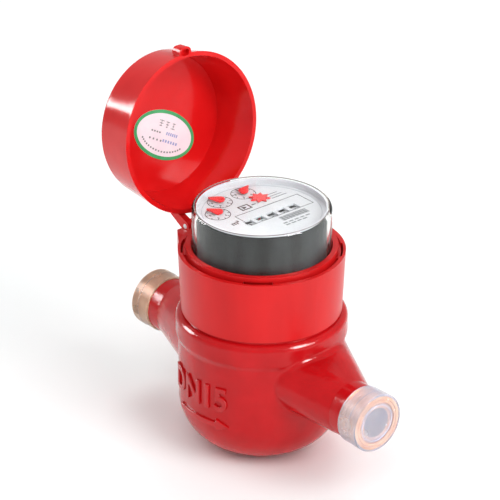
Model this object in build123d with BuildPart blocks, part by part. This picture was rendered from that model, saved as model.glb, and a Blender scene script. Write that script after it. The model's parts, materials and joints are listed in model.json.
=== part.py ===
from build123d import *
import os
from math import acos, atan2, cos, degrees, hypot, radians, sin

os.makedirs("parts", exist_ok=True)

# A DN 15 rotary piston water meter, in millimetres.
# The origin is the middle of the foot, +Z is up and +X is the way the water flows.
# The lid stands open at rest, and its features are drawn as if it were shut.

# Pipe line
face_to_face = 165.0
pipe_height = 43.0
thread_radius = 13.22
thread_core_radius = 12.64
thread_length = 10.9
thread_chamfer = 1.0
bore_radius = 7.5

# Necks, each a wide fan at the bowl that narrows to a short round throat
neck_root_reach = 17.0
neck_root_radius = 14.3
neck_root_spread = 31.6
neck_root_shift = 4.9
neck_root_rise = 6.5
throat_radius = 13.6
throat_flat = 0.2
throat_length = 7.1
neck_fillet = 3.0

# Water passages inside the necks
passage_start = 57.0
passage_stop = 30.0
passage_shift = 11.0
passage_slope = 8.0
passage_half_width = 9.0
passage_half_height = 6.0

# Bowl
wall_radius = 40.2
bowl_wall = 4.0
foot_radius = 14.2
bead_proud = 1.2
bead_low = 56.0
bead_rise = 4.5
bead_top = 70.2
bead_rounding = 3.4
shoulder_height = 71.2
shoulder_land = 1.5
spigot_wall = 2.6
spigot_rise = 5.0
mouth_land = 2.3
plate_headroom = 3.3
plate_land = 1.5
gallery_rise = 4.5
gallery_depth = 10.5
gallery_slant = 1.5
ledge_height = 43.0
ledge_land = 1.8
ledge_thickness = 3.5

# Clearances
running_clearance = 0.05
seat_clearance = 0.2
cap_clearance = 0.13
moving_clearance = 0.3

# Thread caps
cap_wall = 0.95
cap_end = 1.0
cap_gap = 0.1
cap_recess_radius = 10.4
cap_recess_depth = 0.45
cap_step = 0.18
cap_step_reach = 4.6

# Inlet strainer
strainer_flange_radius = 9.4
strainer_flange = 1.4
strainer_radius = 7.2
strainer_wall = 1.0
strainer_length = 24.0
strainer_slots = 8
strainer_slot_width = 2.0
strainer_slot_length = 6.5
strainer_slot_pitch = 9.0

# Measuring chamber
gasket_thickness = 0.8
chamber_wall = 3.0
chamber_base = 3.0
chamber_depth = 25.5
inner_ring_wall = 1.8
centre_post_radius = 2.8
partition_thickness = 2.0
partition_groove = 1.1
port_inset = 4.3
port_width = 5.0
port_start = 18.0
port_sweep = 34.0
partition_turn = -90.0
cover_thickness = 3.0
cover_hole_radius = 8.2

# Rotary piston
eccentricity = 5.0
piston_wall = 3.1
piston_web = 2.0
piston_pin_radius = 2.0
piston_web_hole = 1.6
piston_web_hole_count = 6

# Driver, magnets and pressure plate
driver_disc_radius = 9.5
driver_disc = 2.9
driver_hub_radius = 3.0
spindle_radius = 1.2
spindle_bearing_depth = 2.0
magnet_radius = 8.0
magnet_height = 8.5
plate_thickness = 4.0
plate_seal_width = 1.7
plate_seal_height = 1.6
clamp_ring_height = 5.0
clamp_ring_width = 4.2
clamp_notch_width = 5.0
clamp_notch_depth = 2.0
clamp_notches = 6

# Register
register_floor = 2.0
register_flange = 2.8
register_wall = 1.8
glass_inset = 2.9
glass_wall = 2.1
glass_top = 125.0
glass_top_thickness = 2.0
glass_rounding = 2.2
glass_gasket_thickness = 1.2
dial_depth = 2.1
dial_thickness = 1.0
rotor_bearing_depth = 1.2
rotor_lift = 1.0
gear_case_height = 10.0

# Number rollers
roller_count = 5
roller_pitch = 6.75
roller_radius = 5.2
roller_width = 6.1
first_roller_offset = 11.8
roller_x = 5.4
roller_shaft_radius = 1.0
roller_shaft_end = 1.2
window_width = 4.7
window_height = 5.4
window_corner = 0.4
counter_cheek = 1.4
counter_cheek_width = 6.0
counter_floor = 0.9

# Pointers and star wheel, each placed by its way in from the dial's -X edge and its way along Y
pointer_places = {"left": (19.8, -17.8), "middle": (10.1, -8.7), "right": (10.1, 5.8)}
pointer_turns = {"left": -153.8, "middle": -146.0, "right": 116.6}
pointer_head_radius = 2.4
pointer_length = 5.5
pointer_tip = 0.35
pointer_thickness = 0.8
pointer_spindle_radius = 0.6
pointer_lift = 1.1
star_place = (19.3, 8.2)
star_radius = 5.2
star_inner_radius = 3.0
star_points = 8
star_thickness = 0.7
star_lift = 0.2

# Register collar
collar_step = 0.2
collar_draft = 1.4
collar_rim_height = 102.2
collar_ring_wall = 2.7
collar_ring_height = 104.5
collar_groove_depth = 2.2
collar_outer_wall = 2.0
collar_core_drop = 5.2
collar_core_wall = 1.8
pocket_count = 4
pocket_turn = -43.0
pocket_inset = 1.3
pocket_breadth = 3.7
pocket_length = 14.0
pocket_depth = 7.0
tongue_inset = 2.4
tongue_breadth = 1.4
tongue_drop = 1.2

# Lid hinge
hinge_offset = 4.5
hinge_height = 100.0
lid_opening_angle = 96.6
hinge_pin_radius = 1.25
hinge_eye_radius = 2.8
knuckle_half_width = 7.3
ear_thickness = 3.4
hinge_block_half_width = 14.3
hinge_block_proud = 6.5
hinge_block_low = 87.0
hinge_block_top = 98.6
hinge_block_chamfer = 3.0

# Lid
lid_taper = 3.8
lid_wall = 2.2
lid_floor = 2.0
lid_gap = 0.2
lid_rounding = 2.2
lid_floor_clearance = 0.8
ear_top_proud = 0.4
ear_top_height = 110.6
ear_low_proud = 1.0
tab_half_width = 3.6
tab_height = 5.6
tab_proud = 3.2
tab_wall = 1.1
tab_hollow = 2.6
sticker_length = 38.8
sticker_width = 24.2
sticker_back_shift = 6.5
sticker_side_shift = 0.3
sticker_turn = -60.3
sticker_thickness = 0.2


def save(part, name):
    part.label = name
    export_step(part, f"parts/{name}.step")


def ring(outer, inner, low, height):
    """One flat ring about the body axis."""
    with BuildPart() as plain:
        with BuildSketch(Plane.XY.offset(low)):
            Circle(outer)
            Circle(inner, mode=Mode.SUBTRACT)
        extrude(amount=height)
    return plain


def sector(inner, outer, middle, length):
    """A curved strip between two radii, its length measured half way between them."""
    sweep = degrees(2 * length / (inner + outer))
    with BuildLine() as outline:
        low = CenterArc((0, 0), inner, middle - sweep / 2, sweep)
        high = CenterArc((0, 0), outer, middle - sweep / 2, sweep)
        Line(low @ 0, high @ 0)
        Line(low @ 1, high @ 1)
    make_face(outline.edges())


def around(place, radius, angle):
    """The point at that distance and angle in degrees from a place."""
    return (place[0] + radius * cos(radians(angle)), place[1] + radius * sin(radians(angle)))


def neck_plane(side, reach, height=pipe_height):
    """A plane square to the pipe, facing out of the neck on that side."""
    return Plane(origin=(side * reach, 0, height), x_dir=(0, side, 0), z_dir=(side, 0, 0))


# Radii that follow from the sizes above
cavity_radius = wall_radius - bowl_wall
corner_radius = wall_radius - foot_radius
bead_radius = wall_radius + bead_proud
mouth_radius = cavity_radius - mouth_land
plate_seat_radius = mouth_radius - plate_land
ledge_radius = plate_seat_radius - ledge_land
chamber_outer = ledge_radius - moving_clearance
chamber_radius = chamber_outer - chamber_wall
port_radius = chamber_radius - port_inset
piston_radius = chamber_radius - eccentricity - seat_clearance
piston_inner = piston_radius - piston_wall
inner_ring_radius = piston_inner - eccentricity - seat_clearance
spigot_radius = mouth_radius + spigot_wall
shoulder_radius = spigot_radius + shoulder_land
register_flange_radius = spigot_radius - moving_clearance
register_base_radius = mouth_radius - clamp_ring_width - moving_clearance - seat_clearance
glass_radius = register_flange_radius - glass_inset
glass_inner = glass_radius - glass_wall
register_radius = glass_inner - 2 * seat_clearance
collar_radius = wall_radius - collar_step
collar_low_radius = collar_radius - collar_draft
ring_inner = glass_radius + 2 * seat_clearance
collar_ring_radius = ring_inner + collar_ring_wall
pocket_outer_radius = collar_radius - pocket_inset
tongue_outer_radius = collar_radius - tongue_inset
hinge_x = -collar_radius - hinge_offset
hinge_block_reach = collar_radius + hinge_block_proud
lid_rim_radius = collar_radius
lid_top_radius = lid_rim_radius - lid_taper

# Places on the dial, worked out from its edge
pointer_centres = {name: (way_in - register_radius, y) for name, (way_in, y) in pointer_places.items()}
star_centre = (star_place[0] - register_radius, star_place[1])

# Heights that follow from the sizes above
thread_face = face_to_face / 2
neck_end = thread_face - thread_length
throat_start = neck_end - throat_length
cover_low = ledge_height + gasket_thickness
cover_top = cover_low + cover_thickness
chamber_floor = cover_low - chamber_depth
piston_low = chamber_floor + seat_clearance
piston_height = chamber_depth - 2 * seat_clearance
web_low = piston_low + (piston_height - piston_web) / 2
driver_low = cover_top + moving_clearance
driver_top = driver_low + driver_disc
hub_top = driver_top + magnet_height + seat_clearance
plate_seat_height = hub_top + plate_headroom
plate_top = plate_seat_height + plate_thickness
gallery_low = ledge_height + gallery_rise
gallery_high = gallery_low + gallery_depth
spigot_top = plate_top + clamp_ring_height + spigot_rise
register_low = plate_top + moving_clearance
flange_low = spigot_top
flange_top = flange_low + register_flange
glass_low = flange_top + glass_gasket_thickness
glass_inner_top = glass_top - glass_top_thickness
dial_top = glass_inner_top - dial_depth
dial_low = dial_top - dial_thickness
roller_height = dial_low - moving_clearance - roller_radius
gear_case_top = roller_height - roller_radius - moving_clearance - counter_floor
register_ledge_height = gear_case_top - gear_case_height
floor_inside = register_low + register_floor
collar_low = shoulder_height + seat_clearance
collar_shoulder = flange_top + moving_clearance
collar_core_height = collar_rim_height - pocket_depth - collar_core_drop
lid_low = collar_rim_height + lid_gap
lid_inner_top = glass_top + lid_floor_clearance
lid_top = lid_inner_top + lid_floor
lid_draft = lid_taper / (lid_top - lid_low)

# Necks and water passages, made ahead of the body that they join
with BuildPart() as necks:
    for side in (1, -1):
        with BuildSketch(neck_plane(side, neck_root_reach, pipe_height + neck_root_rise)):
            with Locations((neck_root_shift, 0)):
                SlotCenterToCenter(neck_root_spread, 2 * neck_root_radius)
        with BuildSketch(neck_plane(side, throat_start)):
            SlotCenterToCenter(throat_flat, 2 * throat_radius)
        loft(ruled=True)
        with BuildSketch(neck_plane(side, throat_start)):
            Circle(throat_radius)
        extrude(amount=throat_length)

with BuildPart() as passages:
    for side in (1, -1):
        with BuildSketch(neck_plane(side, passage_start)):
            Circle(bore_radius)
        with BuildSketch(neck_plane(side, passage_stop, pipe_height + side * passage_slope)):
            with Locations((passage_shift, 0)):
                Ellipse(passage_half_width, passage_half_height)
        loft()
        with BuildSketch(neck_plane(side, passage_start)):
            Circle(bore_radius)
        extrude(amount=thread_face - passage_start)
    with BuildSketch(neck_plane(-1, thread_face - strainer_flange)):
        Circle(strainer_flange_radius + running_clearance)
    extrude(amount=strainer_flange)

# Meter body: a deep cast bowl with a rounded bead, two necks and a stepped bore
with BuildPart() as meter_body:
    with BuildSketch(Plane.XZ):
        with BuildLine():
            Line((0, 0), (foot_radius, 0))
            CenterArc((foot_radius, corner_radius), corner_radius, -90, 90)
            Line((wall_radius, corner_radius), (wall_radius, bead_low))
            Spline(
                (wall_radius, bead_low),
                (bead_radius, bead_low + bead_rise),
                tangents=[(0, 1), (0, 1)],
            )
            Line((bead_radius, bead_low + bead_rise), (bead_radius, bead_top - bead_rounding))
            CenterArc(
                (bead_radius - bead_rounding, bead_top - bead_rounding), bead_rounding, 0, 90
            )
            Polyline(
                (bead_radius - bead_rounding, bead_top),
                (shoulder_radius, shoulder_height),
                (spigot_radius, shoulder_height),
                (spigot_radius, spigot_top),
                (0, spigot_top),
                (0, 0),
            )
        make_face()
    revolve(axis=Axis.Z)
    add(necks.part)
    fillet(
        meter_body.edges()
        .filter_by(lambda e: e.geom_type != GeomType.CIRCLE)
        .filter_by(lambda e: neck_root_reach < abs(e.center().X) < bead_radius),
        neck_fillet,
    )
    with BuildSketch(Plane.XZ):
        with BuildLine():
            Line((0, bowl_wall), (foot_radius, bowl_wall))
            CenterArc((foot_radius, corner_radius), corner_radius - bowl_wall, -90, 90)
            Polyline(
                (cavity_radius, corner_radius),
                (cavity_radius, ledge_height - ledge_thickness),
                (ledge_radius, ledge_height - ledge_thickness),
                (ledge_radius, ledge_height),
                (plate_seat_radius, ledge_height),
                (plate_seat_radius, gallery_low),
                (cavity_radius, gallery_low + gallery_slant),
                (cavity_radius, gallery_high - gallery_slant),
                (plate_seat_radius, gallery_high),
                (plate_seat_radius, plate_seat_height),
                (mouth_radius, plate_seat_height),
                (mouth_radius, spigot_top),
                (0, spigot_top),
                (0, bowl_wall),
            )
        make_face()
    revolve(axis=Axis.Z, mode=Mode.SUBTRACT)
    for side in (1, -1):
        with BuildSketch(neck_plane(side, neck_end)):
            Circle(thread_core_radius)
        extrude(amount=thread_length)
    chamfer(
        meter_body.edges()
        .filter_by(GeomType.CIRCLE)
        .filter_by(lambda e: abs(abs(e.center().X) - thread_face) < running_clearance),
        thread_chamfer,
    )
    add(passages.part, mode=Mode.SUBTRACT)
save(meter_body.part, "meter_body")

# Push-on caps that keep the two threads clean
cap_inner = thread_radius + cap_clearance
cap_outer = cap_inner + cap_wall
cap_low = neck_end + moving_clearance
cap_high = thread_face + cap_gap + cap_end
for side, name in ((1, "outlet_thread_cap"), (-1, "inlet_thread_cap")):
    with BuildPart() as thread_cap:
        with BuildSketch(neck_plane(side, cap_low)):
            Circle(cap_outer)
        extrude(amount=cap_high - cap_low)
        with BuildSketch(neck_plane(side, cap_high - cap_step_reach)):
            Circle(cap_outer + cap_step)
        extrude(amount=cap_step_reach)
        fillet(
            thread_cap.edges().filter_by(lambda e: abs(abs(e.center().X) - cap_high) < running_clearance),
            cap_end / 2,
        )
        with BuildSketch(neck_plane(side, cap_low)):
            Circle(cap_inner)
        extrude(amount=cap_high - cap_end - cap_low, mode=Mode.SUBTRACT)
        with BuildSketch(neck_plane(side, cap_high - cap_recess_depth)):
            Circle(cap_recess_radius)
        extrude(amount=cap_recess_depth, mode=Mode.SUBTRACT)
    save(thread_cap.part, name)

# Inlet strainer: a slotted thimble that hangs in the inlet bore from its flange
with BuildPart() as inlet_strainer:
    with BuildSketch(neck_plane(-1, thread_face - strainer_flange)):
        Circle(strainer_flange_radius)
    extrude(amount=strainer_flange)
    with BuildSketch(neck_plane(-1, thread_face - strainer_length)):
        Circle(strainer_radius)
    extrude(amount=strainer_length)
    with BuildSketch(neck_plane(-1, thread_face - strainer_length + strainer_wall)):
        Circle(strainer_radius - strainer_wall)
    extrude(amount=strainer_length - strainer_wall, mode=Mode.SUBTRACT)
    first_slot = thread_face - strainer_flange - strainer_slot_pitch / 2 - strainer_wall
    for row in range(2):
        slot_reach = first_slot - row * strainer_slot_pitch
        for spoke in range(strainer_slots):
            turn = Rotation(spoke * 360 / strainer_slots, 0, 0)
            slot_plane = Plane(Location((-slot_reach, 0, pipe_height)) * turn)
            with BuildSketch(slot_plane):
                SlotOverall(strainer_slot_length, strainer_slot_width)
            extrude(amount=strainer_radius + strainer_wall, mode=Mode.SUBTRACT)
save(inlet_strainer.part, "inlet_strainer")

# Gasket between the ledge and the chamber cover
chamber_flange_radius = plate_seat_radius - seat_clearance
chamber_gasket = ring(
    chamber_flange_radius, chamber_outer + running_clearance, ledge_height, gasket_thickness
)
save(chamber_gasket.part, "chamber_gasket")

# Measuring chamber: a cup with an inner ring, a centre post and an inlet port
with BuildPart() as measuring_chamber:
    with BuildSketch(Plane.XY.offset(chamber_floor - chamber_base)):
        Circle(chamber_outer)
    extrude(amount=chamber_depth + chamber_base)
    with BuildSketch(Plane.XY.offset(chamber_floor)):
        Circle(chamber_radius)
    extrude(amount=chamber_depth, mode=Mode.SUBTRACT)
    with BuildSketch(Plane.XY.offset(chamber_floor)):
        Circle(inner_ring_radius)
        Circle(inner_ring_radius - inner_ring_wall, mode=Mode.SUBTRACT)
    extrude(amount=web_low - chamber_floor - seat_clearance)
    with BuildSketch(Plane.XY.offset(chamber_floor)):
        Circle(centre_post_radius)
    extrude(amount=web_low - chamber_floor - seat_clearance)
    with BuildSketch(Plane.XY.offset(chamber_floor)):
        with Locations((0, -chamber_radius)):
            Rectangle(
                partition_thickness + 2 * running_clearance,
                2 * (partition_groove + running_clearance),
            )
    extrude(amount=chamber_depth, mode=Mode.SUBTRACT)
    with BuildSketch(Plane.XY.offset(chamber_floor - chamber_base)):
        SlotArc(CenterArc((0, 0), port_radius, partition_turn + port_start, port_sweep), port_width)
    extrude(amount=chamber_base, mode=Mode.SUBTRACT)
save(measuring_chamber.part, "measuring_chamber")

# Partition plate between the inlet and the outlet port
partition_inner = inner_ring_radius + running_clearance
partition_outer = chamber_radius + partition_groove - running_clearance
with BuildPart() as partition_plate:
    with BuildSketch(Plane.XY.offset(chamber_floor)):
        with Locations((0, -(partition_inner + partition_outer) / 2)):
            Rectangle(partition_thickness, partition_outer - partition_inner)
    extrude(amount=chamber_depth)
save(partition_plate.part, "partition_plate")

# Rotary piston: a slotted ring with a pierced web and a centre pin
piston_slot_half = eccentricity + partition_thickness / 2 + 2 * seat_clearance
slot_inner = inner_ring_radius - eccentricity - 2 * seat_clearance
piston_plane = Plane((eccentricity, 0, piston_low))
with BuildPart() as rotary_piston:
    with BuildSketch(piston_plane):
        Circle(piston_radius)
        Circle(piston_inner, mode=Mode.SUBTRACT)
    extrude(amount=piston_height)
    with BuildSketch(piston_plane.offset(web_low - piston_low)):
        Circle(piston_inner)
        with PolarLocations((piston_inner + slot_inner) / 2, piston_web_hole_count, 30):
            Circle(piston_web_hole, mode=Mode.SUBTRACT)
    extrude(amount=piston_web)
    with BuildSketch(piston_plane):
        with Locations((0, -(slot_inner + piston_radius + piston_wall) / 2)):
            Rectangle(2 * piston_slot_half, piston_radius + piston_wall - slot_inner)
    extrude(amount=piston_height, mode=Mode.SUBTRACT)
    with BuildSketch(piston_plane):
        Circle(piston_pin_radius)
    extrude(amount=driver_top - piston_low)
save(rotary_piston.part, "rotary_piston")

# Chamber cover: the flange that hangs the chamber in the bowl
with BuildPart() as chamber_cover:
    with BuildSketch(Plane.XY.offset(cover_low)):
        Circle(chamber_flange_radius)
        Circle(cover_hole_radius, mode=Mode.SUBTRACT)
        SlotArc(
            CenterArc((0, 0), port_radius, partition_turn - port_start - port_sweep, port_sweep),
            port_width,
            mode=Mode.SUBTRACT,
        )
    extrude(amount=cover_thickness)
    upper_ring_low = web_low + piston_web + seat_clearance
    with BuildSketch(Plane.XY.offset(upper_ring_low)):
        Circle(inner_ring_radius)
        Circle(inner_ring_radius - inner_ring_wall, mode=Mode.SUBTRACT)
    extrude(amount=cover_low - upper_ring_low)
save(chamber_cover.part, "chamber_cover")

# Driver turned by the piston's pin, with the drive magnet on its hub
bearing_top = plate_seat_height + spindle_bearing_depth
with BuildPart() as piston_driver:
    with BuildSketch(Plane.XY.offset(driver_low)):
        Circle(driver_disc_radius)
        with Locations((eccentricity, 0)):
            Circle(piston_pin_radius + running_clearance, mode=Mode.SUBTRACT)
    extrude(amount=driver_disc)
    with BuildSketch(Plane.XY.offset(driver_top)):
        Circle(driver_hub_radius)
    extrude(amount=hub_top - driver_top)
    with BuildSketch(Plane.XY.offset(hub_top)):
        Circle(spindle_radius)
    extrude(amount=bearing_top - seat_clearance - hub_top)
save(piston_driver.part, "piston_driver")

magnet_low = driver_top + seat_clearance
drive_magnet = ring(magnet_radius, driver_hub_radius, magnet_low, magnet_height)
save(drive_magnet.part, "drive_magnet")

# Pressure plate that shuts the wet side, with a spindle bearing below
with BuildPart() as pressure_plate:
    with BuildSketch(Plane.XY.offset(plate_seat_height)):
        Circle(mouth_radius - seat_clearance)
    extrude(amount=plate_thickness)
    with BuildSketch(Plane.XY.offset(plate_seat_height)):
        Circle(mouth_radius)
        Circle(mouth_radius - seat_clearance - plate_seal_width, mode=Mode.SUBTRACT)
    extrude(amount=plate_seal_height, mode=Mode.SUBTRACT)
    with BuildSketch(Plane.XY.offset(plate_seat_height)):
        Circle(spindle_radius + running_clearance)
    extrude(amount=spindle_bearing_depth, mode=Mode.SUBTRACT)
save(pressure_plate.part, "pressure_plate")

pressure_seal = ring(
    mouth_radius - running_clearance,
    mouth_radius - seat_clearance - plate_seal_width,
    plate_seat_height,
    plate_seal_height,
)
save(pressure_seal.part, "pressure_seal")

# Screwed ring that clamps the pressure plate, with notches for a spanner
with BuildPart() as clamp_ring:
    with BuildSketch(Plane.XY.offset(plate_top)):
        Circle(mouth_radius - running_clearance)
        Circle(mouth_radius - clamp_ring_width, mode=Mode.SUBTRACT)
    extrude(amount=clamp_ring_height)
    with BuildSketch(Plane.XY.offset(plate_top + clamp_ring_height)):
        with PolarLocations(mouth_radius - clamp_ring_width, clamp_notches):
            Rectangle(clamp_ring_width, clamp_notch_width)
    extrude(amount=-clamp_notch_depth, mode=Mode.SUBTRACT)
save(clamp_ring.part, "clamp_ring")

# Register housing: a dark can with a flange that rests on the body's spigot
case_radius = register_radius - register_wall
boss_inner = register_base_radius - register_wall
with BuildPart() as register_housing:
    with BuildSketch(Plane.XZ):
        with BuildLine():
            Polyline(
                (0, register_low),
                (register_base_radius, register_low),
                (register_base_radius, flange_low),
                (register_flange_radius, flange_low),
                (register_flange_radius, flange_top),
                (register_radius, flange_top),
                (register_radius, dial_low),
                (case_radius, dial_low),
                (case_radius, register_ledge_height),
                (boss_inner, register_ledge_height),
                (boss_inner, floor_inside),
                (0, floor_inside),
                (0, register_low),
            )
        make_face()
    revolve(axis=Axis.Z)
    with BuildSketch(Plane.XY.offset(floor_inside)):
        Circle(spindle_radius + running_clearance)
    extrude(amount=-rotor_bearing_depth, mode=Mode.SUBTRACT)
save(register_housing.part, "register_housing")

glass_gasket = ring(glass_radius, glass_inner, flange_top, glass_gasket_thickness)
save(glass_gasket.part, "glass_gasket")

# Clear cup over the register
with BuildPart() as register_glass:
    with BuildSketch(Plane.XY.offset(glass_low)):
        Circle(glass_radius)
    extrude(amount=glass_top - glass_low)
    fillet(register_glass.edges().sort_by(Axis.Z)[-1], glass_rounding)
    with BuildSketch(Plane.XY.offset(glass_low)):
        Circle(glass_inner)
    extrude(amount=glass_inner_top - glass_low, mode=Mode.SUBTRACT)
save(register_glass.part, "register_glass")

# Rotor: the follower magnet and the shaft that it turns
rotor_low = floor_inside + rotor_lift
with BuildPart() as rotor_shaft:
    with BuildSketch(Plane.XY.offset(floor_inside - rotor_bearing_depth + seat_clearance)):
        Circle(spindle_radius)
    extrude(amount=register_ledge_height + spindle_bearing_depth - floor_inside)
    with BuildSketch(Plane.XY.offset(rotor_low)):
        Circle(driver_hub_radius)
    extrude(amount=magnet_height)
save(rotor_shaft.part, "rotor_shaft")

follower_magnet = ring(magnet_radius, driver_hub_radius, rotor_low, magnet_height)
save(follower_magnet.part, "follower_magnet")

# Closed gear case that steps the turns down to the pointers and rollers
with BuildPart() as gear_case:
    with BuildSketch(Plane.XY.offset(register_ledge_height)):
        Circle(case_radius - seat_clearance)
    extrude(amount=gear_case_height)
    with BuildSketch(Plane.XY.offset(register_ledge_height)):
        Circle(spindle_radius + running_clearance)
    extrude(amount=spindle_bearing_depth, mode=Mode.SUBTRACT)
    spindle_places = [*pointer_centres.values(), star_centre]
    with BuildSketch(Plane.XY.offset(gear_case_top)):
        with Locations(*spindle_places):
            Circle(pointer_spindle_radius + running_clearance)
    extrude(amount=-spindle_bearing_depth, mode=Mode.SUBTRACT)
save(gear_case.part, "gear_case")

# Dial plate with a window over each roller and a hole for each spindle
roller_places = [index * roller_pitch - first_roller_offset for index in range(roller_count)]
with BuildPart() as dial_plate:
    with BuildSketch(Plane.XY.offset(dial_low)):
        Circle(register_radius)
        with Locations(*[(roller_x, place) for place in roller_places]):
            RectangleRounded(window_height, window_width, window_corner, mode=Mode.SUBTRACT)
        with Locations(*spindle_places):
            Circle(pointer_spindle_radius + running_clearance, mode=Mode.SUBTRACT)
    extrude(amount=dial_thickness)
save(dial_plate.part, "dial_plate")

# Counter frame that carries the roller shaft between two cheeks
first_roller = roller_places[0] - roller_width / 2
last_roller = roller_places[-1] + roller_width / 2
cheek_low = first_roller - moving_clearance - counter_cheek
cheek_high = last_roller + moving_clearance + counter_cheek
with BuildPart() as counter_frame:
    with BuildSketch(Plane.XY.offset(gear_case_top)):
        with Locations((roller_x, (cheek_low + cheek_high) / 2)):
            Rectangle(counter_cheek_width, cheek_high - cheek_low)
    extrude(amount=roller_height - gear_case_top)
    with BuildSketch(Plane.XY.offset(gear_case_top + counter_floor)):
        with Locations((roller_x, (cheek_low + cheek_high) / 2)):
            Rectangle(2 * roller_radius, cheek_high - cheek_low - 2 * counter_cheek)
    extrude(amount=roller_height, mode=Mode.SUBTRACT)
    for cheek in (cheek_low, cheek_high - counter_cheek):
        with BuildSketch(Plane((roller_x, cheek, roller_height), x_dir=(1, 0, 0), z_dir=(0, -1, 0))):
            Circle(counter_cheek_width / 2)
        extrude(amount=-counter_cheek)
        with BuildSketch(Plane((roller_x, cheek, roller_height), x_dir=(1, 0, 0), z_dir=(0, -1, 0))):
            Circle(roller_shaft_radius)
        extrude(amount=-counter_cheek, mode=Mode.SUBTRACT)
save(counter_frame.part, "counter_frame")

# Number rollers on their shaft
shaft_start = cheek_low - roller_shaft_end
with BuildPart() as number_shaft:
    with BuildSketch(Plane((roller_x, shaft_start, roller_height), x_dir=(1, 0, 0), z_dir=(0, 1, 0))):
        Circle(roller_shaft_radius)
    extrude(amount=cheek_high + roller_shaft_end - shaft_start)
save(number_shaft.part, "number_shaft")

for index, place in enumerate(roller_places):
    roller_side = (roller_x, place - roller_width / 2, roller_height)
    with BuildPart() as number_roller:
        with BuildSketch(Plane(roller_side, x_dir=(1, 0, 0), z_dir=(0, 1, 0))):
            Circle(roller_radius)
            Circle(roller_shaft_radius + running_clearance, mode=Mode.SUBTRACT)
        extrude(amount=roller_width)
    save(number_roller.part, f"number_roller_{index + 1}")

# Pointers, each a round head with a tip and a spindle through the dial
spindle_low = gear_case_top - spindle_bearing_depth + seat_clearance
pointer_low = dial_top + pointer_lift
for name, (x, y) in pointer_centres.items():
    with BuildPart() as pointer:
        with BuildSketch(Plane.XY.offset(pointer_low)):
            with Locations((x, y)):
                Circle(pointer_head_radius)
            with Locations(around((x, y), pointer_length, pointer_turns[name])):
                Circle(pointer_tip)
            make_hull()
        extrude(amount=pointer_thickness)
        with BuildSketch(Plane.XY.offset(spindle_low)):
            with Locations((x, y)):
                Circle(pointer_spindle_radius)
        extrude(amount=pointer_low - spindle_low)
    save(pointer.part, f"pointer_{name}")

# Star wheel that shows the smallest flow
star_outline = []
for point in range(star_points):
    point_turn = 360 * point / star_points
    star_outline.append(around(star_centre, star_radius, point_turn))
    star_outline.append(around(star_centre, star_inner_radius, point_turn + 180 / star_points))
with BuildPart() as star_wheel:
    with BuildSketch(Plane.XY.offset(dial_top + star_lift)):
        Polygon(*star_outline, align=None)
    extrude(amount=star_thickness)
    with BuildSketch(Plane.XY.offset(spindle_low)):
        with Locations(star_centre):
            Circle(pointer_spindle_radius)
    extrude(amount=dial_top + star_lift - spindle_low)
save(star_wheel.part, "star_wheel")

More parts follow.
